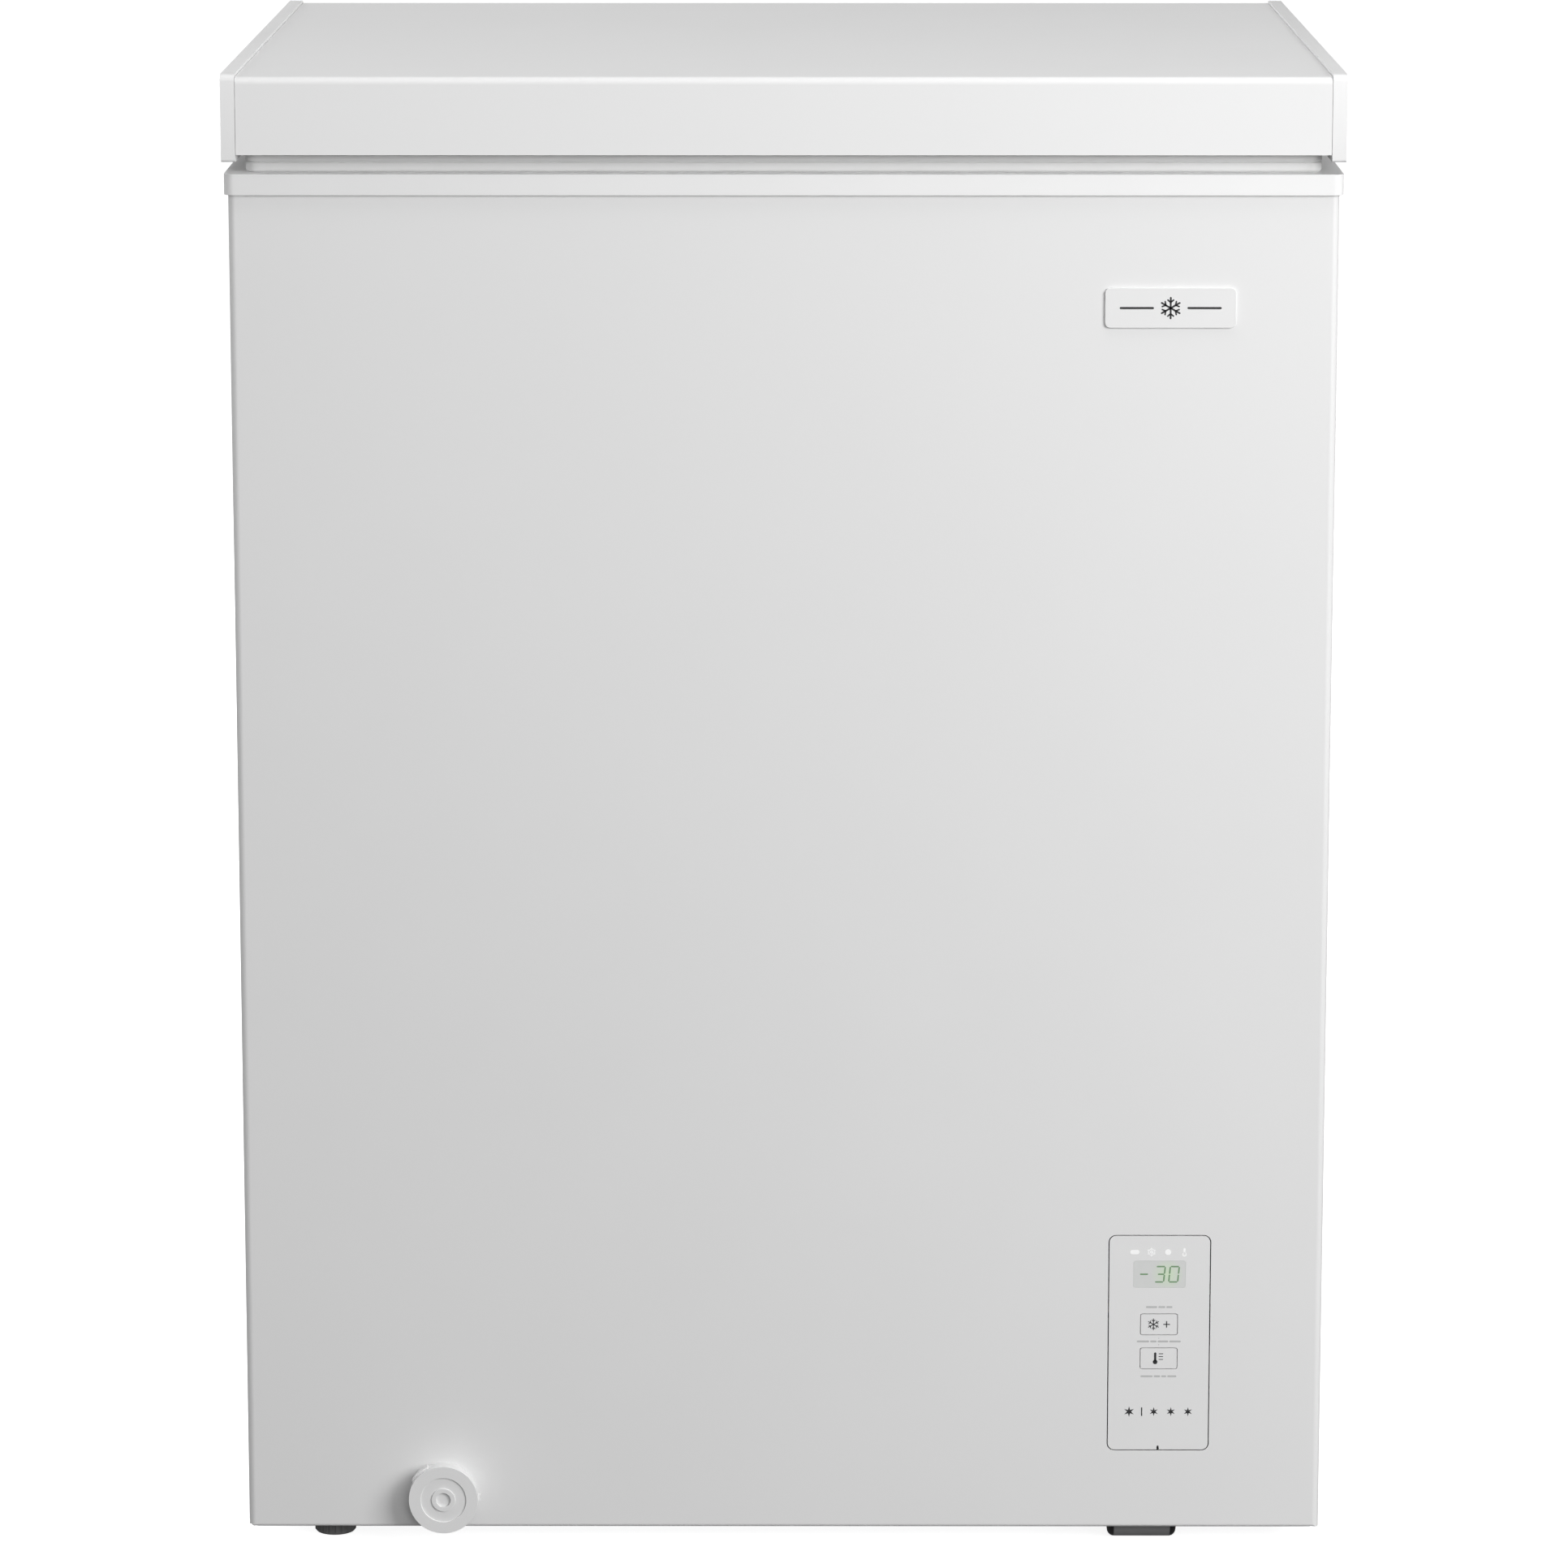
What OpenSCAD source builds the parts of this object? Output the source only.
// Compact chest freezer of about 140 litres: foamed steel cabinet, hinged foamed lid,
// skin condenser, hermetic compressor in the lower right corner and a front drain.
// Millimetres. X to the right, Y to the rear, Z up; the origin is on the floor, under
// the middle of the whole freezer.

/* [Overall size] */
// Width over the lid's end caps
lid_w = 628; // [610:1:660]
// Depth of the lid, front face to rear face
lid_d = 528; // [520:1:560]
// Height from the floor to the top of the lid's end caps
top_z = 856; // [840:1:900]
// Gap between the floor and the cabinet's lower edge
ground_gap = 12; // [11:0.5:14]

/* [Insulation] */
// Thickness of the insulated walls
wall_t = 51; // [48:1:55]
// Height of the step in the liner above the cabinet's lower edge
step_rise = 273; // [268:1:290]

/* [Lid] */
// Height of the lid's steel front
lid_h = 43.5; // [40:0.5:48]
// Height of the compressed lid seal
seal_h = 11; // [10:0.5:12]
// Thickness of each plastic end cap
cap_t = 8; // [7:0.5:9]

/* [Drain] */
// Radius of the drain dial
dial_r = 20; // [18:0.5:20.5]
// Sideways place of the drain, from the middle
drain_x = -197; // [-205:1:-185]

/* [Control panel] */
// Width of the control panel's fascia
fascia_w = 58; // [56:1:62]
// Height of the control panel's fascia
fascia_h = 128; // [124:1:132]

/* [Hinges] */
// Sideways place of each hinge, from the middle
hinge_x = 190; // [160:5:220]

/* [Hidden] */
$fn = 48;

sheet = 0.8;                 // painted steel sheet
e = 0.01;                    // overlap of cutting tools
dial_reach = 11.5;           // drain dial in front of the lid's front face
hinge_reach = 16;            // hinges behind the lid's rear face

// Front and rear faces, with the whole freezer centred on Y = 0
lid_y0 = -(lid_d + dial_reach + hinge_reach) / 2 + dial_reach;
lid_y1 = lid_y0 + lid_d;
cab_y0 = lid_y0 + 4.5;
cab_y1 = lid_y1 - 9;
cab_x = lid_w / 2 - 3;       // half width of the cabinet
in_x = cab_x - sheet;        // inside faces of the steel cabinet
in_y0 = cab_y0 + sheet;
in_y1 = cab_y1 - sheet;

// Levels
lid_top = top_z - 1.5;
lid_z = lid_top - lid_h;
rim_z = lid_z - seal_h;      // top of the plastic top frame
rim_t = 3;
shell_top = rim_z - rim_t;
skirt_h = 11.7;
hem = 6;                     // lower edge of the front sheet, folded inwards
floor_t = 62;                // insulation under the deep well
liner_t = 1;

// Liner's inside, with the step over the compressor compartment on the right
well_x = cab_x - wall_t - 1;
well_y0 = cab_y0 + wall_t + 1;
well_y1 = cab_y1 - wall_t - 0.5;
well_z = ground_gap + floor_t + liner_t;
step_z = ground_gap + step_rise;
bay_x = 150;                 // left wall of the compressor compartment
bay_z = step_z - liner_t - 48; // its ceiling
step_x = bay_x - wall_t - liner_t;
well_r = 30;                 // upright corners of the liner

// Lid hinge axis
pivot_y = lid_y1 + 2;
pivot_z = rim_z - 3;
spring_pin_r = 10;           // spring pin's distance from the pivot
spring_pin_a = 42.5;         // and its angle above the level, lid closed

// Drain, floor drain, feet and rollers
drain_z = ground_gap + 21;
plug_y = cab_y0 + 113;
foot_x = -cab_x + 48;
foot_in = 33;                // foot centres in from the front and rear faces
roller_x = cab_x - 102;
roller_in = 24;
roller_r = 15;
roller_w = 40;

// Control panel and badge share one centre line
panel_x = cab_x - 94;
panel_z = ground_gap + 111;
display_z = panel_z + 41.2;
key_w = 21;
key_h = 12.2;
key_zs = [panel_z + 11.2, panel_z - 9.2];
key_gap = 0.4;

// Compressor
comp_x = (bay_x + cab_x) / 2;
comp_y = cab_y1 - 120;
plate_z = ground_gap + 22;   // underside of the base plate
comp_z = plate_z + 18;       // underside of the compressor's dome
comp_r = 64;
bolt_dx = 46;
bolt_dy = 68;

white = [0.93, 0.93, 0.93];
steel = [0.72, 0.73, 0.75];
copper = [0.72, 0.42, 0.28];
black = [0.08, 0.08, 0.09];

// ---------- outlines and sweeps ----------

function arc(c, r, a0, a1, n = 6) = [for (i = [0:n]) let (a = a0 + (a1 - a0) * i / n)
    c + r * [cos(a), sin(a)]];

// Rectangle from p to q with its own radius at each corner: upper right, upper left,
// lower left, lower right
function soft_box(p, q, rs, n = 6) = concat(
    rs[0] > 0 ? arc([q.x - rs[0], q.y - rs[0]], rs[0], 0, 90, n) : [[q.x, q.y]],
    rs[1] > 0 ? arc([p.x + rs[1], q.y - rs[1]], rs[1], 90, 180, n) : [[p.x, q.y]],
    rs[2] > 0 ? arc([p.x + rs[2], p.y + rs[2]], rs[2], 180, 270, n) : [[p.x, p.y]],
    rs[3] > 0 ? arc([q.x - rs[3], p.y + rs[3]], rs[3], 270, 360, n) : [[q.x, p.y]]);

module slab(p, q, rs, z0, z1, n = 6) {
    translate([0, 0, z0]) linear_extrude(z1 - z0) polygon(soft_box(p, q, rs, n));
}

module block(p, q) {
    translate(p) cube(q - p);
}

// Extrudes an outline drawn in (Y, Z) from x0 to x1
module along_x(x0, x1) {
    translate([x0, 0, 0]) rotate([90, 0, 90]) linear_extrude(x1 - x0) children();
}

// Extrudes an outline drawn in (X, Z) from y0 to y1
module along_y(y0, y1) {
    translate([0, y1, 0]) rotate([90, 0, 0]) linear_extrude(y1 - y0) children();
}

module rod_x(x0, x1, y, z, r) {
    translate([x0, y, z]) rotate([0, 90, 0]) cylinder(h = x1 - x0, r = r);
}

module rod_y(y0, y1, x, z, r) {
    translate([x, y1, z]) rotate([90, 0, 0]) cylinder(h = y1 - y0, r = r);
}

function unit(v) = v / norm(v);

// Rounds one corner of a route with n + 1 points, starting d before it
function bend(p, v, q, d, n) = let (a = v + d * unit(p - v), c = v + d * unit(q - v))
    [for (i = [0:n]) let (t = i / n) (1 - t) * (1 - t) * a + 2 * t * (1 - t) * v + t * t * c];

function route(pts, d, n = 4) = concat([pts[0]],
    [for (i = [1:len(pts) - 2]) each bend(pts[i - 1], pts[i], pts[i + 1], d, n)],
    [pts[len(pts) - 1]]);

// A round tube of n sides along pts; side is a direction that no stretch runs along
module sweep(pts, r, side, n = 6) {
    last = len(pts) - 1;
    rings = [for (i = [0:last])
        let (t = unit(pts[min(i + 1, last)] - pts[max(i - 1, 0)]),
            u = unit(cross(t, side)), v = cross(t, u))
        for (k = [0:n - 1]) pts[i] + r * (cos(360 * k / n) * u + sin(360 * k / n) * v)];
    sides = [for (i = [0:last - 1], k = [0:n - 1])
        [i * n + k, (i + 1) * n + k, (i + 1) * n + (k + 1) % n, i * n + (k + 1) % n]];
    polyhedron(rings, concat(sides, [[for (k = [0:n - 1]) k]],
        [[for (k = [n - 1:-1:0]) last * n + k]]));
}

// ---------- cabinet ----------

module cabinet_outline(inset = 0) {
    r = 4 - inset;
    polygon(soft_box([-cab_x + inset, cab_y0 + inset], [cab_x - inset, cab_y1 - inset],
        [0, 0, r, r], 8));
}

bend_r = 2;                  // outside radius of the fold at the front's lower edge
bend_c = [cab_y0 + bend_r, ground_gap + bend_r];

// What the fold takes off the front's lower edge
module bend_cut() {
    along_x(-cab_x - 1, cab_x + 1) polygon(concat(arc(bend_c, bend_r, 180, 270),
        [[bend_c.x, ground_gap - 1], [cab_y0 - 1, ground_gap - 1], [cab_y0 - 1, bend_c.y]]));
}

// Inside of the fold, which keeps its thickness at that of the sheet
module bend_fill() {
    c = bend_c - [bend_r, bend_r] + 0.5 * [sheet, sheet];
    along_x(-in_x + 4, in_x - 4) polygon(concat(arc(bend_c, bend_r - sheet, 180, 270),
        [[bend_c.x, c.y], c, [c.x, bend_c.y]]));
}

// Rounds the lower left corner of the front
module soft_corner_cut() {
    r = 4.5;
    c = [-cab_x + r, ground_gap + r];
    along_y(cab_y0 - 1, cab_y0 + hem) polygon(concat([c - [r + 1, r + 1], c - [0, r + 1]],
        arc(c, r, 270, 180, 6), [c - [r + 1, 0]]));
}

// Front and both sides in one folded sheet, with the openings for the panel, drain and grille
module outer_shell() {
    color(white) difference() {
        union() {
            translate([0, 0, ground_gap]) linear_extrude(shell_top - ground_gap)
                difference() {
                    cabinet_outline();
                    polygon(soft_box([-in_x, in_y0], [in_x, cab_y1 + 5],
                        [0, 0, 4 - sheet, 4 - sheet], 8));
                }
            // lower edge turned inwards under the front
            block([-in_x + 4, in_y0 - 0.2, ground_gap],
                [in_x - 4, cab_y0 + hem, ground_gap + sheet]);
            bend_fill();
        }
        bend_cut();
        along_y(cab_y0 - 5, cab_y0 + 5) polygon(panel_outline(0.6));
        rod_y(cab_y0 - 5, cab_y0 + 5, drain_x, drain_z, 13.3);
        along_x(in_x - 5, cab_x + 5) polygon(grille_outline(0.2));
        soft_corner_cut();
    }
}

// Back sheet, open behind the compressor compartment
module back_panel() {
    color(steel) difference() {
        along_y(in_y1, cab_y1) difference() {
            polygon(soft_box([-in_x, ground_gap], [in_x, shell_top], [0, 0, 0, 0]));
            polygon(soft_box([bay_x + 8, ground_gap + 16], [in_x - 10, bay_z - 8], [3, 3, 3, 3]));
        }
        bracket_screw_places() screw_hole(cab_y1);
        cover_screw_places() screw_hole(cab_y1);
    }
}

// Sheet under the deep well, with holes for the feet
module bottom_pan() {
    color(steel) difference() {
        block([-in_x, cab_y0 + hem + 0.2, ground_gap], [bay_x, in_y1, ground_gap + sheet]);
        foot_places() translate([0, 0, ground_gap - 1]) cylinder(h = 4, r = 5);
    }
}

// Wall and ceiling of the compressor compartment
module compartment_partition() {
    color(steel) {
        block([bay_x, in_y0, ground_gap + sheet], [bay_x + sheet, in_y1, bay_z]);
        block([bay_x + sheet, in_y0 + 3.3, bay_z - sheet], [in_x, in_y1, bay_z]);
    }
}

// Inverted tray that carries the compressor and the two rollers
module base_plate() {
    x0 = bay_x + sheet + 0.2;
    x1 = in_x - 0.2;
    y0 = in_y0 + 3;
    y1 = in_y1 - 1;
    t = 2;
    color(steel) difference() {
        block([x0, y0, ground_gap + 2], [x1, y1, plate_z + t]);
        block([x0 + t, y0 + t, ground_gap - 1], [x1 - t, y1 - t, plate_z]);
        bolt_places() translate([0, 0, plate_z - 1]) cylinder(h = 5, r = 4.3);
        for (y = [-70, -20, 30]) translate([comp_x, y, plate_z - 1]) cylinder(h = 5, r = 12);
        cover_screw_places() screw_hole(cab_y1);
    }
}

module liner_shape(t, top) {
    rs = [well_r + t, well_r + t, well_r + t, well_r + t];
    slab([-well_x - t, well_y0 - t], [well_x + t, well_y1 + t], rs, step_z - t, top);
    slab([-well_x - t, well_y0 - t], [step_x + t, well_y1 + t], rs, well_z - t, step_z + 1);
}

// Deep-drawn liner with its flange under the top frame
module inner_liner() {
    color([0.9, 0.9, 0.91]) difference() {
        union() {
            liner_shape(liner_t, shell_top);
            slab([-well_x - 16, well_y0 - 16], [well_x + 16, well_y1 + 16],
                [20, 20, 20, 20], shell_top - liner_t, shell_top);
        }
        liner_shape(0, shell_top + 1);
        translate([drain_x, plug_y, well_z - 3]) cylinder(h = 6, r = 9);
    }
}

// Foamed-in-place insulation between the sheets and the liner
module foam_insulation() {
    color([0.95, 0.88, 0.62]) difference() {
        translate([0, 0, ground_gap + sheet])
            linear_extrude(shell_top - liner_t - ground_gap - sheet) cabinet_outline(sheet);
        liner_shape(liner_t, shell_top + 1);
        block([bay_x, cab_y0 - 1, ground_gap - 1], [cab_x + 1, cab_y1 + 1, bay_z]);
        rod_y(cab_y0 - 1, cab_y0 + 21, drain_x, drain_z, 13.4);
        rod_y(cab_y0 + 20, plug_y, drain_x, drain_z, 11.8);
        translate([drain_x, plug_y, drain_z - 12]) cylinder(h = 60, r = 11.8);
        foot_places() translate([0, 0, ground_gap - 1]) cylinder(h = 34, r = 7.3);
        bracket_screw_places() screw_hole(cab_y1);
        soft_corner_cut();
        block([-cab_x, cab_y0, ground_gap], [cab_x, bend_c.x, bend_c.y]);
    }
}

// Moulded frame that covers the foamed edge, carries the seal and the basket's handles
module top_frame() {
    out = 2.2;
    lip = 2;
    rim_r = 6;
    inner = [well_r - 2.2, well_r - 2.2, well_r - 2.2, well_r - 2.2];
    outer = [rim_r, rim_r, rim_r, rim_r];
    color(white) difference() {
        union() {
            slab([-cab_x - out, cab_y0 - 2.5], [cab_x + out, cab_y1 + 2.5], outer,
                rim_z - skirt_h, rim_z);
            slab([-well_x + 0.2, well_y0 + 0.2], [well_x - 0.2, well_y1 - 0.2],
                [well_r, well_r, well_r, well_r], shell_top - 14, rim_z);
        }
        translate([0, 0, rim_z - skirt_h - 1]) linear_extrude(skirt_h + 1 - rim_t)
            difference() {
                polygon(soft_box([-cab_x, cab_y0], [cab_x, cab_y1], [0, 0, 4, 4], 8));
                polygon(soft_box([-well_x + 0.2, well_y0 + 0.2], [well_x - 0.2, well_y1 - 0.2],
                    [well_r, well_r, well_r, well_r]));
            }
        slab([-well_x + lip + 0.2, well_y0 + lip + 0.2], [well_x - lip - 0.2, well_y1 - lip - 0.2],
            inner, shell_top - 20, rim_z + 1);
    }
}

// ---------- refrigeration ----------

// One tube wound round the liner, in the foam
module evaporator_coil() {
    turns = 7;
    gap = liner_t + 5;
    xs = [-well_x - gap, well_x + gap];
    ys = [well_y0 - gap, well_y1 + gap];
    z0 = step_z + 20;
    rise = (shell_top - 35 - z0) / turns;
    corners = [for (k = [0:turns * 4]) let (q = k % 4)
        [xs[q == 1 || q == 2 ? 1 : 0], ys[q >= 2 ? 1 : 0], z0 + rise * k / 4]];
    color(copper) sweep(route(corners, 34, 3), 4, [0, 0, 1]);
}

// Hairpins on the inside of the front and side sheets, in the foam
module condenser_coil() {
    passes = 6;
    gap = 5;
    x = in_x - gap;
    y0 = in_y0 + gap;
    y1 = in_y1 - 30;
    z0 = bay_z + 40;
    pitch = (shell_top - 60 - z0) / (passes - 1);
    runs = [for (k = [0:passes - 1]) let (s = k % 2 == 0 ? -1 : 1, z = z0 + pitch * k)
        each [[s * x, y1, z], [s * x, y0, z], [-s * x, y0, z], [-s * x, y1, z]]];
    color(copper) sweep(route(runs, 14, 3), 2.5, unit([0.3, 0.5, 0.4]));
}

module bolt_places() {
    for (sx = [-1, 1], sy = [-1, 1])
        translate([comp_x + sx * bolt_dx, comp_y + sy * bolt_dy, 0]) children();
}

// Hermetic pot: lower cup, welded joint and domed top
module compressor() {
    h = 146;
    joint = 66;
    color(black) translate([comp_x, comp_y, comp_z]) rotate_extrude() difference() {
        union() {
            polygon(concat([[0, 0], [comp_r - 14, 0]], arc([comp_r - 14, 14], 14, -90, 0, 6),
                arc([comp_r - 40, h - 40], 40, 0, 90, 8), [[0, h]]));
            polygon([[comp_r - 5, joint - 4], [comp_r + 3, joint - 4], [comp_r + 3, joint + 2],
                [comp_r - 5, joint + 2]]);
        }
        polygon([[-1, 10], [comp_r - 16, 10], [comp_r - 10, 20], [comp_r - 10, h - 44],
            [comp_r - 40, h - 12], [-1, h - 12]]);
    }
}

// Plate welded under the compressor
module compressor_feet() {
    t = 2.5;
    color(black) difference() {
        translate([comp_x, comp_y, comp_z - t]) linear_extrude(t)
            polygon(soft_box([-58, -81], [58, 81], [10, 10, 10, 10]));
        bolt_places() translate([0, 0, comp_z - t - 1]) cylinder(h = t + 2, r = 6.4);
    }
}

// Rubber spools between the base plate and the compressor's feet
module compressor_grommets() {
    z0 = plate_z + 2;
    z1 = comp_z - 2.5;
    color(black) bolt_places() rotate_extrude() polygon([[4.3, z0], [11, z0], [11, z1],
        [6, z1], [6, comp_z + 0.2], [9, comp_z + 0.2], [9, comp_z + 3], [4.3, comp_z + 3]]);
}

// Bolt, washer and nut at each corner of that plate
module compressor_bolts() {
    color(steel) bolt_places() {
        translate([0, 0, plate_z - 5]) cylinder(h = 5, r = 7, $fn = 6);
        translate([0, 0, plate_z - e]) cylinder(h = comp_z + 14 - plate_z, r = 4);
        translate([0, 0, comp_z + 3]) cylinder(h = 1.6, r = 9);
        translate([0, 0, comp_z + 4.6]) cylinder(h = 6, r = 7, $fn = 6);
    }
}

module terminal_box(inset, depth) {
    translate([comp_x, comp_y - comp_r - depth, comp_z + 38]) along_y(inset, depth + 20)
        polygon(soft_box([-26 + inset, inset], [26 - inset, 58 - inset], [3, 3, 3, 3], 4));
}

// Snap-on cover over the terminals on the front of the compressor
module terminal_cover() {
    color(black) difference() {
        terminal_box(0, 22);
        terminal_box(2, 22);
        translate([comp_x, comp_y, comp_z - 5]) cylinder(h = 200, r = comp_r + 3.4);
    }
}

// Starting relay under the terminal cover
module start_relay() {
    color([0.2, 0.2, 0.22]) translate([comp_x - 17, comp_y - comp_r - 17, comp_z + 48])
        cube([34, 11, 36]);
}

bay_roof = bay_z - sheet - 0.2;

// Thin hot tube from the compressor up to the condenser
module discharge_tube() {
    x = comp_x - 62;
    y = comp_y - 44;
    z = comp_z + 118;
    color(copper) sweep(route([[comp_x - 38, comp_y - 18, z], [x + 6, y, z], [x, y - 60, z],
        [x, y - 60, bay_roof]], 12, 3), 3, unit([0.6, 0.45, 0.1]), 8);
}

// Wider return tube from the evaporator
module suction_tube() {
    x = comp_x + 38;
    z = comp_z + 118;
    color(copper) sweep(route([[x, comp_y - 20, z], [x + 18, comp_y - 50, z], [x + 18, comp_y - 90, z + 20],
        [x + 18, comp_y - 90, bay_roof]], 10, 3), 4.5, unit([0.7, 0.4, 0.05]), 8);
}

drier_p = [bay_x + 18, comp_y - 150, plate_z + 66];

// Drier between the condenser and the fine tube
module filter_drier() {
    top = bay_roof - drier_p.z;
    color(copper) translate(drier_p) rotate_extrude() polygon([[0, -8], [3, -8], [3.4, 0],
        [9, 10], [9, 86], [3.4, 96], [3, 98], [3, top], [0, top]]);
}

// Fine tube from the drier, wound in a coil and led up to the evaporator
module capillary_tube() {
    r = 16;
    p = drier_p - [0, 0, 8];
    turn = [for (k = [0:26]) let (a = 180 + 30 * k)
        p + [r + r * cos(a), r * sin(a), -14 - 0.2 * k]];
    q = turn[26];
    color(copper) sweep(concat([p, p - [0, 0, 10]], turn, route([q + [0, 8, 0], q + [0, 24, 0],
        [q.x, q.y + 24, bay_roof]], 8)), 1, [0.35, 0.12, 1], 6);
}

// Closed box for the power electronics
module power_box() {
    p = [bay_x + 14, in_y0 + 60, plate_z + 2];
    q = [in_x - 14, in_y0 + 150, plate_z + 44];
    t = 2;
    color(white) difference() {
        block(p, q);
        block(p + [t, t, t], q - [t, t, t]);
    }
}

// Circuit board with its transformer, relay and capacitor
module power_board() {
    p = [bay_x + 20, in_y0 + 66, plate_z + 10];
    color([0.1, 0.35, 0.2]) {
        block(p, p + [112, 76, 1.6]);
        block(p + [10, 10, 1.6], p + [38, 34, 18]);
        block(p + [52, 12, 1.6], p + [72, 28, 22]);
        translate(p + [92, 30, 1.6]) cylinder(h = 20, r = 8);
    }
}

// ---------- rear cover, gland, grille, badge ----------

gland_x = bay_x + 24;
gland_z = ground_gap + 36;

// Vented cover over the compressor compartment
module rear_cover() {
    slots = [for (c = [0:2], k = [0:10]) [bay_x + 16 + 48 * c, ground_gap + 52 + 14 * k]];
    color(steel) difference() {
        along_y(cab_y1, cab_y1 + 1.2) difference() {
            polygon(soft_box([bay_x - 4, ground_gap + 1], [cab_x - 1, bay_z + 4], [4, 4, 4, 4], 4));
            for (s = slots) polygon(soft_box(s, s + [38, 5], [2.4, 2.4, 2.4, 2.4], 4));
        }
        rod_y(cab_y1 - 1, cab_y1 + 3, gland_x, gland_z, 7);
        cover_screw_places() rod_y(cab_y1 - 1, cab_y1 + 3, 0, 0, 2.3);
    }
}

module cover_screw_places() {
    for (z = [ground_gap + 10, (ground_gap + bay_z) / 2, bay_z - 4], x = [bay_x + 4, in_x - 5])
        translate([x, 0, z]) children();
}

screw_length = 7;

// Pan-head screw with a cross recess, seated on the face at y and driven towards -Y
module pan_screw(y) {
    difference() {
        union() {
            rod_y(y, y + 2, 0, 0, 4);
            rod_y(y - screw_length, y + e, 0, 0, 2);
        }
        for (a = [0, 90]) translate([0, y + 2, 0]) rotate([0, a, 0])
            cube([4, 1.6, 0.9], center = true);
    }
}

// Hole for such a screw below the face at y
module screw_hole(y) {
    rod_y(y - screw_length - 1, y + 1, 0, 0, 2.05);
}

module rear_cover_screws() {
    color(steel) cover_screw_places() pan_screw(cab_y1 + 1.2);
}

// Bush for the mains cord, in the rear cover
module cord_gland() {
    color(black) difference() {
        union() {
            rod_y(cab_y1 + 1.2, cab_y1 + 4.2, gland_x, gland_z, 10);
            rod_y(cab_y1 - 8, cab_y1 + 2, gland_x, gland_z, 6.8);
        }
        rod_y(cab_y1 - 9, cab_y1 + 6, gland_x, gland_z, 4);
    }
}

function grille_outline(grow) = soft_box([cab_y0 + 30 - grow, ground_gap + 88 - grow],
    [cab_y0 + 190 + grow, bay_z - 3 + grow], [4, 4, 4, 4], 4);

// Slotted air inlet set into the right side
module side_grille() {
    color(white) along_x(in_x - 1.4, cab_x - 0.3) difference() {
        polygon(grille_outline(0));
        for (k = [0:8]) polygon(soft_box([cab_y0 + 40, ground_gap + 96 + 13.5 * k],
            [cab_y0 + 180, ground_gap + 101 + 13.5 * k], [2.4, 2.4, 2.4, 2.4], 4));
    }
}

// Raised plate on the front, left blank
module badge_plate() {
    w = 73.6;
    h = 22.6;
    z = shell_top - 72;
    color([0.86, 0.86, 0.87]) translate([panel_x, 0, z]) along_y(cab_y0 - 1.5, cab_y0)
        polygon(soft_box([-w / 2, -h / 2], [w / 2, h / 2], [3, 3, 3, 3], 4));
}

// ---------- control panel ----------

function panel_outline(grow) = [for (p = soft_box([-fascia_w / 2 - grow, -fascia_h / 2 - grow],
    [fascia_w / 2 + grow, fascia_h / 2 + grow], [3.7, 3.7, 3.7, 3.7] + grow * [1, 1, 1, 1]))
    p + [panel_x, panel_z]];

function key_outline(z, grow) = soft_box(
    [panel_x - key_w / 2 - grow, z - key_h / 2 - grow],
    [panel_x + key_w / 2 + grow, z + key_h / 2 + grow], [1, 1, 1, 1] * (1 + grow), 4);

function window_outline(grow) = soft_box([panel_x - 15 - grow, display_z - 8 - grow],
    [panel_x + 15 + grow, display_z + 8 + grow], [1, 1, 1, 1] * (1.2 + grow), 4);

// Flush fascia with openings for the window and the keys
module control_fascia() {
    color(white) along_y(cab_y0, cab_y0 + 2.4) difference() {
        polygon(panel_outline(0));
        polygon(window_outline(0.05));
        for (z = key_zs) polygon(key_outline(z, key_gap));
        // pry slot at the lower edge
        polygon(soft_box([panel_x - 0.6, panel_z - fascia_h / 2 - 1],
            [panel_x + 0.6, panel_z - fascia_h / 2 + 2.4], [0.5, 0.5, 0, 0], 4));
    }
}

// Cup behind the fascia, sunk into the foam
module control_housing() {
    depth = 24;
    color(black) difference() {
        along_y(cab_y0 + 2.4, cab_y0 + depth) polygon(panel_outline(-0.8));
        along_y(cab_y0 + 1, cab_y0 + depth - 2) polygon(panel_outline(-2.8));
    }
}

// Window over the display
module display_window() {
    color([0.7, 0.74, 0.7]) along_y(cab_y0, cab_y0 + 2) polygon(window_outline(0));
}

// Board with the display's digits, on two posts
module display_board() {
    y = cab_y0 + 12;
    color([0.1, 0.35, 0.2]) {
        block([panel_x - 25, y, panel_z - 58], [panel_x + 25, y + 1.6, panel_z + 58]);
        block([panel_x - 14, y - 8, display_z - 7], [panel_x + 14, y, display_z + 7]);
        for (s = [-1, 1], z = [panel_z - 50, panel_z + 54])
            rod_y(y + 1.6, cab_y0 + 22, panel_x + s * 20, z, 2);
    }
}

// Tact switches behind the keys
module key_switches() {
    y = cab_y0 + 12;
    color(black) for (z = key_zs) {
        block([panel_x - 3, y - 2.5, z - 3], [panel_x + 3, y, z + 3]);
        rod_y(y - 3.2, y - 2.5 + e, panel_x, z, 1.7);
    }
}

// Key cap, flush with the fascia, with a flange that holds it in and a stem to its switch
module key_cap(z) {
    color(white) {
        along_y(cab_y0, cab_y0 + 2.7) polygon(key_outline(z, 0));
        along_y(cab_y0 + 2.6, cab_y0 + 3.8) polygon(key_outline(z, 1.2));
        rod_y(cab_y0 + 3.7, cab_y0 + 8, panel_x, z, 1.7);
    }
}

module key_boost() {
    key_cap(key_zs[0]);
}

module key_temp() {
    key_cap(key_zs[1]);
}

// ---------- drain ----------

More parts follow.
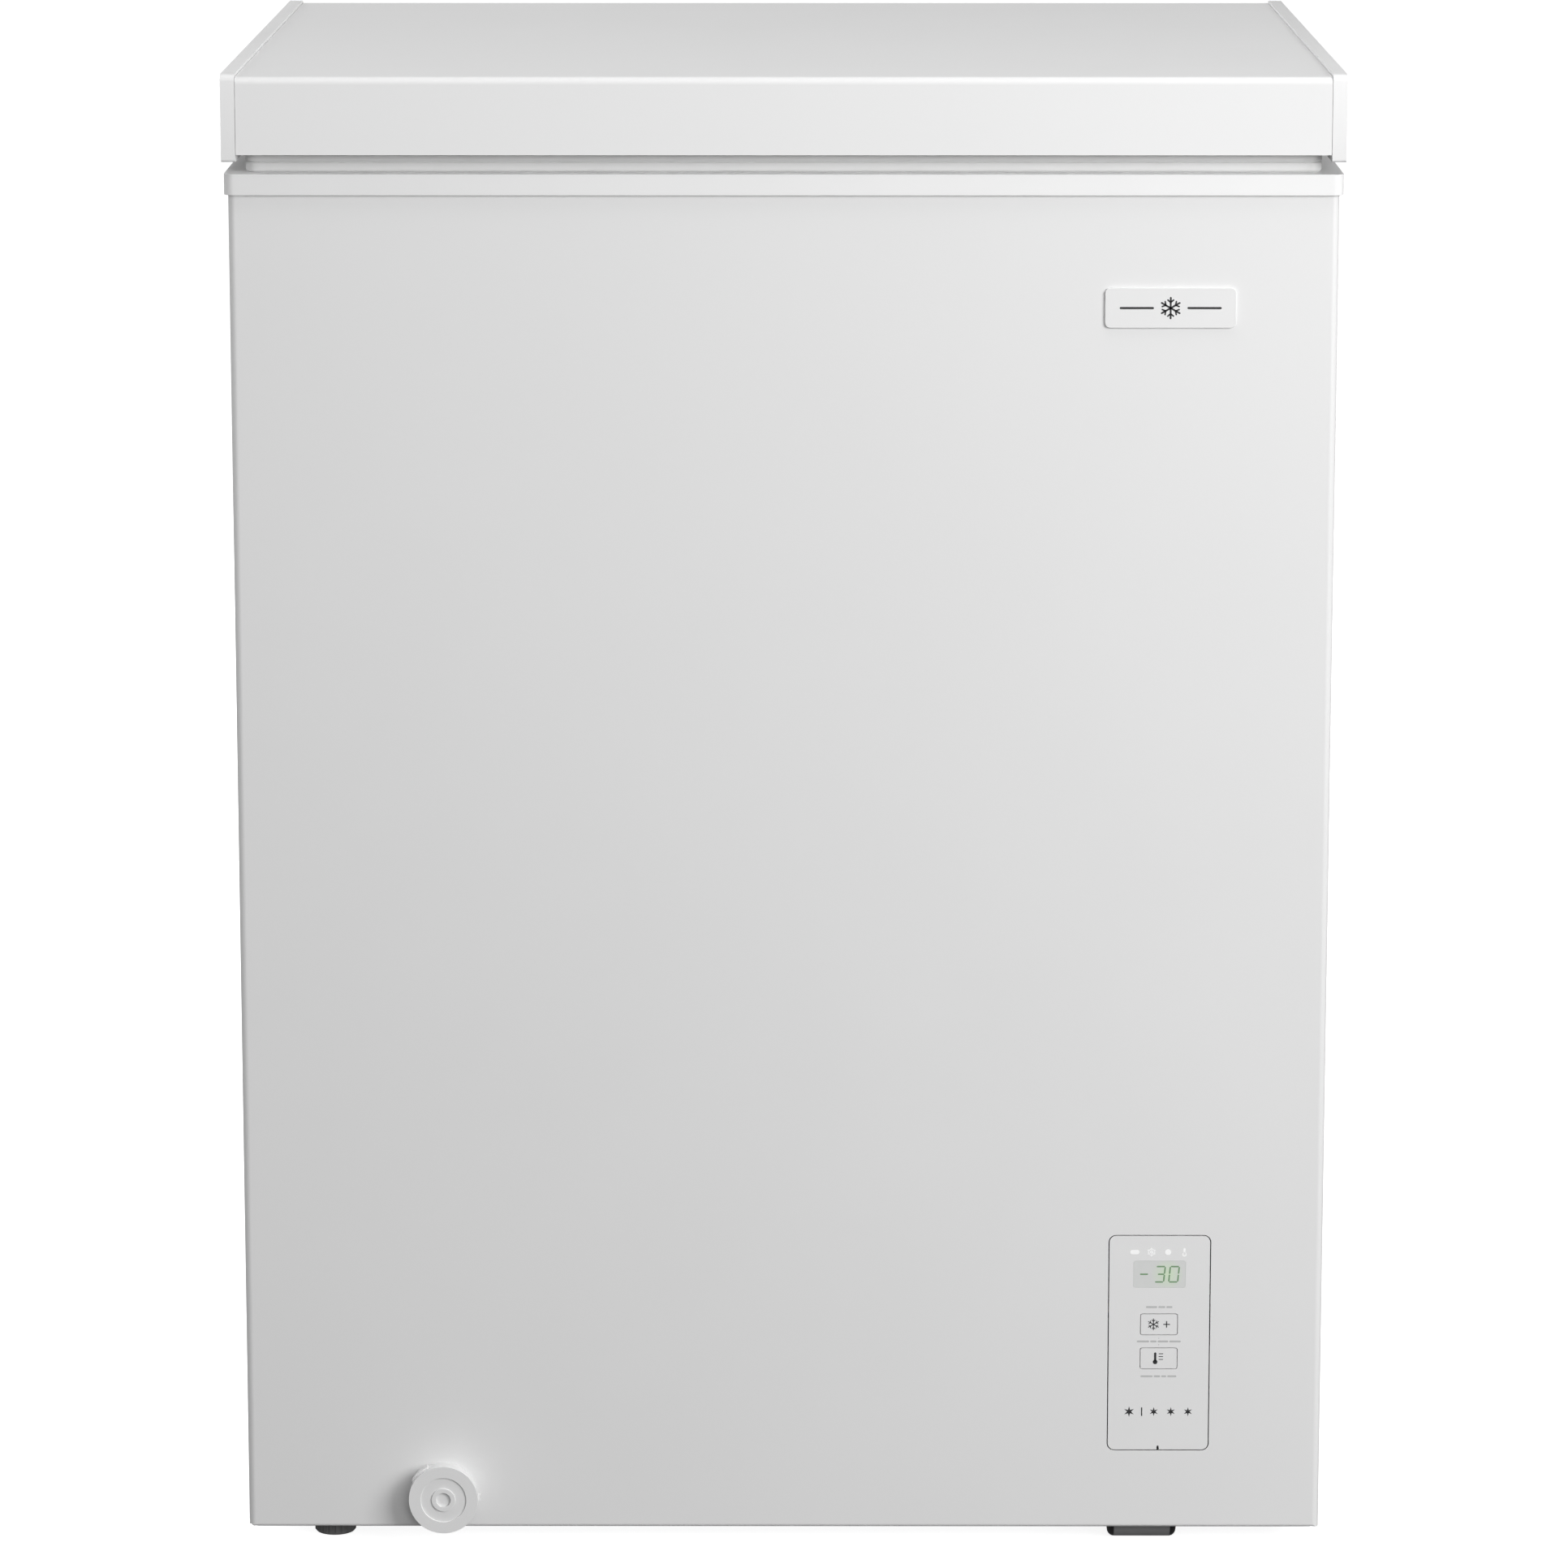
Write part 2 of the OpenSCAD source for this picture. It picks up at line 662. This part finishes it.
// Fixed flange and guide barrel in the front sheet
module drain_collar() {
    color(white) difference() {
        union() {
            rod_y(cab_y0 - 3, cab_y0, drain_x, drain_z, 18);
            rod_y(cab_y0 - 1, cab_y0 + 20, drain_x, drain_z, 13);
        }
        rod_y(cab_y0 - 4, cab_y0 + 21, drain_x, drain_z, 9.16);
    }
}

// Elbow from the collar back and up to the liner's floor
module drain_tube() {
    color([0.85, 0.85, 0.83]) difference() {
        union() {
            rod_y(cab_y0 + 20, plug_y, drain_x, drain_z, 11.4);
            translate([drain_x, plug_y, drain_z]) sphere(r = 11.4);
            translate([drain_x, plug_y, drain_z]) cylinder(h = well_z - liner_t - drain_z, r = 11.4);
        }
        rod_y(cab_y0 + 19, plug_y, drain_x, drain_z, 9.16);
        translate([drain_x, plug_y, drain_z]) sphere(r = 9.16);
        translate([drain_x, plug_y, drain_z]) cylinder(h = 60, r = 9.16);
    }
}

// Sliding spout that the dial turns on
module drain_spout() {
    color(white) difference() {
        rod_y(cab_y0 - 13, cab_y0 + 62, drain_x, drain_z, 9.08);
        rod_y(cab_y0 - 9, cab_y0 + 63, drain_x, drain_z, 6.5);
        // outlet in the spout's underside, behind the dial
        translate([drain_x - 4, cab_y0 - 8, drain_z - 12]) cube([8, 4, 10]);
    }
}

// Dial that turns on the spout and opens it
module drain_dial() {
    face = lid_y0 - dial_reach;
    color(white) translate([drain_x, 0, drain_z]) difference() {
        union() {
            rod_y(face, face + 9, 0, 0, dial_r);
            rod_y(face + 8.9, cab_y0 - 3.4, 0, 0, dial_r - 2.6);
            // narrow and wide grip ears on the rim
            for (a = [[-5, 5], [116, 150]]) along_y(face + 3, face + 8.4) polygon(concat(
                arc([0, 0], dial_r + 1.2, a[0], a[1], 4), arc([0, 0], dial_r - 1, a[1], a[0], 4)));
        }
        translate([0, face, 0]) rotate([90, 0, 0]) face_relief();
        rod_y(cab_y0 - 13.1, cab_y0, 0, 0, 9.16);
        translate([-4, cab_y0 - 8, 2]) cube([8, 4, 20]);
    }
}

// Shallow dish with a raised ring round a deeper middle, cut into the face from the front
module face_relief() {
    translate([0, 0, -0.8]) difference() {
        cylinder(h = 2, r = dial_r * 0.66);
        translate([0, 0, -1]) cylinder(h = 4, r = dial_r * 0.34);
    }
    translate([0, 0, -1.6]) cylinder(h = 3, r = dial_r * 0.21);
}

// Ring in the liner's floor
module drain_strainer() {
    color([0.8, 0.8, 0.8]) translate([drain_x, plug_y, well_z]) rotate_extrude()
        polygon([[7, -14], [8.7, -14], [8.7, 0], [15, 0], [14, 1.5], [7, 1.5]]);
}

// Push-in plug with a pull ring
module floor_drain_plug() {
    ring_r = 6;
    color([0.35, 0.35, 0.36]) translate([drain_x, plug_y, well_z + 1.6]) {
        rotate_extrude() polygon([[0, -11], [5.6, -11], [6.6, -6], [6.6, 0], [11, 0],
            [11, 3], [9.5, 4], [0, 4]]);
        translate([-1.5, 0, 4 - e]) rotate([0, 90, 0]) rotate([0, 0, 90]) linear_extrude(3)
            difference() {
                union() {
                    translate([0, 6]) circle(r = ring_r);
                    translate([-ring_r, 0]) square([2 * ring_r, 6]);
                }
                translate([0, 6]) circle(r = ring_r - 2.5);
            }
    }
}

// ---------- feet and rollers ----------

module foot_places() {
    for (y = [cab_y0 + foot_in, cab_y1 - foot_in]) translate([foot_x, y, 0]) children();
}

// Threaded bushes for the feet
module foot_bushes() {
    color(steel) foot_places() difference() {
        translate([0, 0, ground_gap + sheet]) cylinder(h = 31, r = 7);
        translate([0, 0, ground_gap]) cylinder(h = 40, r = 4.08);
    }
}

// Ribbed levelling foot with its stud
module foot() {
    ribs = 20;
    color(black) difference() {
        rotate_extrude() polygon([[0, 0], [11, 0], [12, 1.2], [12, 9], [11, 10], [4, 10],
            [4, 40], [0, 40]]);
        for (k = [0:ribs - 1]) rotate(360 * k / ribs) translate([12.3, 0, 1.4])
            cylinder(h = 12, r = 0.9);
    }
}

module foot_front() {
    translate([foot_x, cab_y0 + foot_in, 0]) foot();
}

module foot_rear() {
    translate([foot_x, cab_y1 - foot_in, 0]) foot();
}

roller_ys = [cab_y0 + roller_in, cab_y1 - roller_in];

// Fork over each roller
module roller_brackets() {
    half = roller_w / 2 + 3.5;
    color(steel) for (y = roller_ys) difference() {
        block([roller_x - half, y - 13, ground_gap + 1], [roller_x + half, y + 13, plate_z]);
        block([roller_x - half + 2, y - 20, ground_gap - 1],
            [roller_x + half - 2, y + 20, plate_z - 2]);
        rod_x(roller_x - half - 1, roller_x + half + 1, y, roller_r, 3.05);
    }
}

// Axle with a riveted head at each end
module roller_axles() {
    half = roller_w / 2 + 3.5;
    color(steel) for (y = roller_ys) {
        rod_x(roller_x - half - 1.5, roller_x + half + 1.5, y, roller_r, 3);
        for (s = [-1, 1]) rod_x(roller_x + s * (half + 1.25) - 1.15, roller_x + s * (half + 1.25) + 1.15,
            y, roller_r, 4.5);
    }
}

// Barrel wheel with rounded shoulders
module roller() {
    w = roller_w / 2;
    s = 4;
    color(black) rotate([0, 90, 0]) rotate_extrude() polygon(concat(
        [[3.08, -w], [roller_r - s - 2, -w]],
        arc([roller_r - s, -w + s], s, -90, 0, 5),
        arc([roller_r - s, w - s], s, 0, 90, 5),
        [[roller_r - s - 2, w], [3.08, w]]));
}

module roller_front() {
    translate([roller_x, roller_ys[0], roller_r]) roller();
}

module roller_rear() {
    translate([roller_x, roller_ys[1], roller_r]) roller();
}

// ---------- hinges ----------

module hinge_places() {
    for (s = [-1, 1]) translate([s * hinge_x, 0, 0]) children();
}

hinge_half = 22;
bracket_z0 = pivot_z - 125;
bracket_z1 = rim_z - skirt_h - 2;
bracket_y1 = lid_y1 + hinge_reach;
spring_y = pivot_y + spring_pin_r * cos(spring_pin_a);
spring_pin_z = pivot_z + spring_pin_r * sin(spring_pin_a);
bracket_screw_zs = [bracket_z0 + 20, bracket_z1 - 18];

module bracket_screw_places() {
    hinge_places() for (s = [-1, 1], z = bracket_screw_zs) translate([s * 14, 0, z]) children();
}

// Pressed channel on the cabinet's back: plate, two cheeks that carry the pivot, spring tab
module hinge_brackets() {
    t = 2;
    cheek = concat([[cab_y1, bracket_z0], [bracket_y1, bracket_z0], [bracket_y1, pivot_z - 16]],
        arc([pivot_y, pivot_z], 7, -10, 170, 10),
        [[cab_y1 + 4.2, pivot_z - 4], [cab_y1 + 4.2, bracket_z1], [cab_y1, bracket_z1]]);
    color(steel) hinge_places() difference() {
        union() {
            block([-hinge_half, cab_y1, bracket_z0], [hinge_half, cab_y1 + t, bracket_z1]);
            for (x = [-hinge_half, hinge_half - t]) along_x(x, x + t) polygon(cheek);
            block([-hinge_half, cab_y1, bracket_z0], [hinge_half, bracket_y1, bracket_z0 + t]);
        }
        rod_x(-30, 30, pivot_y, pivot_z, 3.05);
        for (s = [-1, 1], z = bracket_screw_zs) translate([s * 14, 0, z])
            rod_y(cab_y1 - 1, cab_y1 + t + 1, 0, 0, 2.3);
        translate([0, spring_y, bracket_z0 - 1]) cylinder(h = 5, r = 3);
    }
}

// Pivot with a riveted head at each end
module hinge_pivot_pins() {
    color(steel) hinge_places() {
        rod_x(-hinge_half - 1, hinge_half + 1, pivot_y, pivot_z, 3);
        for (s = [-1, 1]) rod_x(s * (hinge_half + 1) - 0.9, s * (hinge_half + 1) + 0.9,
            pivot_y, pivot_z, 5);
    }
}

// Extension springs that balance the lid: closed coils with a straight hook at each end
module hinge_springs() {
    color(steel) hinge_places() translate([0, spring_y, 0]) {
        translate([0, 0, bracket_z0 + 16]) difference() {
            cylinder(h = spring_pin_z - 20 - bracket_z0 - 16, r = 6.3);
            translate([0, 0, 2]) cylinder(h = spring_pin_z - 24 - bracket_z0 - 16, r = 4.3);
        }
        translate([0, 0, bracket_z0 + 3]) cylinder(h = 14, r = 1);
        translate([0, 0, spring_pin_z - 21]) cylinder(h = 18.3, r = 1);
    }
}

module hinge_bracket_screws() {
    color(steel) bracket_screw_places() pan_screw(cab_y1 + 2);
}

leaf_screws = [for (s = [-1, 1], z = [lid_z + 13, lid_z + 31]) [s * 11, z]];

module leaf_screw_places() {
    hinge_places() for (p = leaf_screws) translate([p.x, 0, p.y]) children();
}

// Leaf on the lid's rear face: plate, two ears on the pivot, and the spring pin between them
module hinge_leaves() {
    t = 2;
    half = hinge_half - t - 0.5;
    ear = concat([[lid_y1 + 0.2, lid_z + 26], [lid_y1 + 0.2, lid_z - 0.5]],
        arc([pivot_y, pivot_z], 6.5, 170, 300, 8),
        arc([spring_y, spring_pin_z], 4.5, 300, 400, 6),
        [[lid_y1 + 4, lid_z + 26]]);
    color(steel) hinge_places() {
        difference() {
            union() {
                block([-half, lid_y1, lid_z + 2], [half, lid_y1 + t, lid_z + lid_h - 3]);
                for (x = [-half, half - t]) along_x(x, x + t) polygon(ear);
            }
            rod_x(-30, 30, pivot_y, pivot_z, 3.08);
            for (p = leaf_screws) translate([p.x, 0, p.y])
                rod_y(lid_y1 - 1, lid_y1 + t + 1, 0, 0, 2.3);
        }
        rod_x(-half + t / 2, half - t / 2, spring_y, spring_pin_z, 2.5);
    }
}

module hinge_leaf_screws() {
    color(steel) leaf_screw_places() pan_screw(lid_y1 + 2);
}

// ---------- lid ----------

cap_x = lid_w / 2 - cap_t;   // inner face of each end cap
panel_half = cap_x - 0.3;    // the steel top stops short of the caps
tongue_x = cap_x - 6;
fold_r = 4;                  // outside radius of the top's front and rear folds

// Profiles of the lid in (Y, Z), drawn smaller by `inset` on the front, top and rear
function lid_profile(inset, z0) = soft_box([lid_y0 + inset, z0], [lid_y1 - inset, lid_top - inset],
    [fold_r - min(inset, 2.2), fold_r - min(inset, 2.2), 0, 0]);

// Steel top folded down at the front and rear and inwards below
module lid_outer_panel() {
    color(white) difference() {
        along_x(-panel_half, panel_half) difference() {
            polygon(lid_profile(0, lid_z));
            polygon(lid_profile(sheet, lid_z + sheet));
            polygon(soft_box([lid_y0 + 8, lid_z - 1], [lid_y1 - 8, lid_z + 2], [0, 0, 0, 0]));
        }
        leaf_screw_places() screw_hole(lid_y1);
    }
}

// Moulded cap: rounded side wall with a rim, and a tongue inside the steel panel
module lid_cap_right() {
    wall = 2.5;
    bottom = lid_z - 4;
    color(white) {
        difference() {
            along_x(cap_x, lid_w / 2) polygon(soft_box([lid_y0, bottom], [lid_y1, top_z],
                [fold_r, fold_r, 1.5, 1.5]));
            along_x(cap_x - 1, lid_w / 2 - wall) polygon(soft_box(
                [lid_y0 + 2.9, lid_z + 2], [lid_y1 - 2.9, lid_top - 2.9], [1, 1, 1, 1]));
        }
        along_x(tongue_x, cap_x + e) difference() {
            polygon(lid_profile(0.9, lid_z + 1));
            polygon(lid_profile(2.9, lid_z + 2.5));
        }
    }
}

module lid_cap_left() {
    mirror([1, 0, 0]) lid_cap_right();
}

plug_half = well_x - 19;
plug_drop = 15;

// Insulation that fills the lid, its caps and its raised middle
module lid_foam() {
    t = 1.5;
    color([0.95, 0.88, 0.62]) difference() {
        union() {
            along_x(-tongue_x, tongue_x) polygon(soft_box([lid_y0 + sheet, lid_z + t],
                [lid_y1 - sheet, lid_top - sheet], [fold_r - sheet, fold_r - sheet, 0, 0]));
            along_x(-cap_x - 5.5, cap_x + 5.5) polygon(soft_box([lid_y0 + 3, lid_z + 2.6],
                [lid_y1 - 3, lid_top - 3], [fold_r - 2.2, fold_r - 2.2, 0, 0]));
            slab([-plug_half + t, well_y0 + 21 + t], [plug_half - t, well_y1 - 20 - t],
                [23.5, 23.5, 23.5, 23.5], lid_z - plug_drop + t, lid_z + t + 1);
        }
        leaf_screw_places() screw_hole(lid_y1);
    }
}

// Vacuum-formed inner face with the raised middle that drops into the opening
module lid_liner() {
    t = 1.5;
    edge = 8.2;
    color(white) difference() {
        union() {
            slab([-tongue_x + 0.2, lid_y0 + edge], [tongue_x - 0.2, lid_y1 - edge],
                [1, 1, 1, 1], lid_z, lid_z + t);
            slab([-plug_half, well_y0 + 21], [plug_half, well_y1 - 20], [25, 25, 25, 25],
                lid_z - plug_drop, lid_z + t);
        }
        slab([-plug_half + t, well_y0 + 21 + t], [plug_half - t, well_y1 - 20 - t],
            [23.5, 23.5, 23.5, 23.5], lid_z - plug_drop + t, lid_z + t + 1);
    }
}

module ring(inset, width, z0, z1) {
    x = lid_w / 2 - 12.2 - inset;
    p = [-x, lid_y0 + 12.2 + inset];
    q = [x, lid_y1 - 12.2 - inset];
    w = [width, width];
    translate([0, 0, z0]) linear_extrude(z1 - z0) difference() {
        polygon(soft_box(p, q, [7, 7, 7, 7]));
        polygon(soft_box(p + w, q - w, [3, 3, 3, 3]));
    }
}

// Seal: soft bulb on the top frame, a bellows fold above it, and its magnet channel
module lid_gasket() {
    bulb = seal_h - 5;
    color([0.78, 0.78, 0.78]) difference() {
        union() {
            ring(0, 13, rim_z, rim_z + bulb);
            ring(2.5, 8, rim_z + bulb - e, lid_z);
            ring(0.8, 11.4, rim_z + bulb + 1.4, rim_z + bulb + 2.8);
        }
        ring(2.5, 8, rim_z + 1.4, rim_z + bulb - 1.2);
    }
}

// ---------- basket ----------

basket_x0 = well_x - 242;
basket_x1 = well_x - 16;
basket_y0 = well_y0 + 14;
basket_y1 = well_y1 - 14;
basket_z0 = rim_z - 190;
basket_z1 = rim_z - 12;

// Flat lattice from p to q with nx by ny cells, and wires 2r wide
module lattice(p, q, nx, ny, r) {
    cell = [(q.x - p.x) / nx, (q.y - p.y) / ny];
    difference() {
        polygon(soft_box(p - [r, r], q + [r, r], [0, 0, 0, 0]));
        for (i = [0:nx - 1], j = [0:ny - 1]) let (c = p + [i * cell.x, j * cell.y])
            polygon(soft_box(c + [r, r], c + cell - [r, r], [0, 0, 0, 0]));
    }
}

// Welded wire basket; its two handles hook over the top frame, so it can slide sideways
module storage_basket() {
    r = 1.3;
    rim = 2.5;
    cells = [6, 9, 3];
    p = [basket_x0, basket_y0, basket_z0];
    q = [basket_x1, basket_y1, basket_z1];
    handle_z = rim_z + 0.3;
    color(white) {
        translate([0, 0, p.z - r]) linear_extrude(2 * r) lattice([p.x, p.y], [q.x, q.y],
            cells.x, cells.y, r);
        for (y = [p.y, q.y]) along_y(y - r, y + r) lattice([p.x, p.z], [q.x, q.z],
            cells.x, cells.z, r);
        for (x = [p.x, q.x]) along_x(x - r, x + r) lattice([p.y, p.z], [q.y, q.z],
            cells.y, cells.z, r);
        // thick rim
        translate([0, 0, q.z - rim]) linear_extrude(2 * rim) lattice([p.x, p.y], [q.x, q.y],
            1, 1, rim);
        for (s = [-1, 1]) {
            y = s < 0 ? p.y : q.y;
            reach = y + s * 22;
            for (x = [p.x + 40, q.x - 40]) {
                block([x - rim, y - rim, q.z], [x + rim, y + rim, handle_z + 2 * rim]);
                block([x - rim, min(y, reach), handle_z], [x + rim, max(y, reach),
                    handle_z + 2 * rim]);
            }
            block([p.x + 40 - rim, reach - rim, handle_z],
                [q.x - 40 + rim, reach + rim, handle_z + 2 * rim]);
        }
    }
}

outer_shell();
back_panel();
bottom_pan();
compartment_partition();
base_plate();
foam_insulation();
inner_liner();
top_frame();
evaporator_coil();
condenser_coil();
compressor();
compressor_feet();
compressor_grommets();
compressor_bolts();
terminal_cover();
start_relay();
discharge_tube();
suction_tube();
filter_drier();
capillary_tube();
power_box();
power_board();
rear_cover();
rear_cover_screws();
cord_gland();
side_grille();
badge_plate();
control_housing();
control_fascia();
display_window();
display_board();
key_switches();
key_boost();
key_temp();
drain_collar();
drain_tube();
drain_spout();
drain_dial();
drain_strainer();
floor_drain_plug();
foot_bushes();
foot_front();
foot_rear();
roller_brackets();
roller_axles();
roller_front();
roller_rear();
hinge_brackets();
hinge_pivot_pins();
hinge_springs();
hinge_bracket_screws();
hinge_leaves();
hinge_leaf_screws();
lid_outer_panel();
lid_cap_left();
lid_cap_right();
lid_foam();
lid_liner();
lid_gasket();
storage_basket();
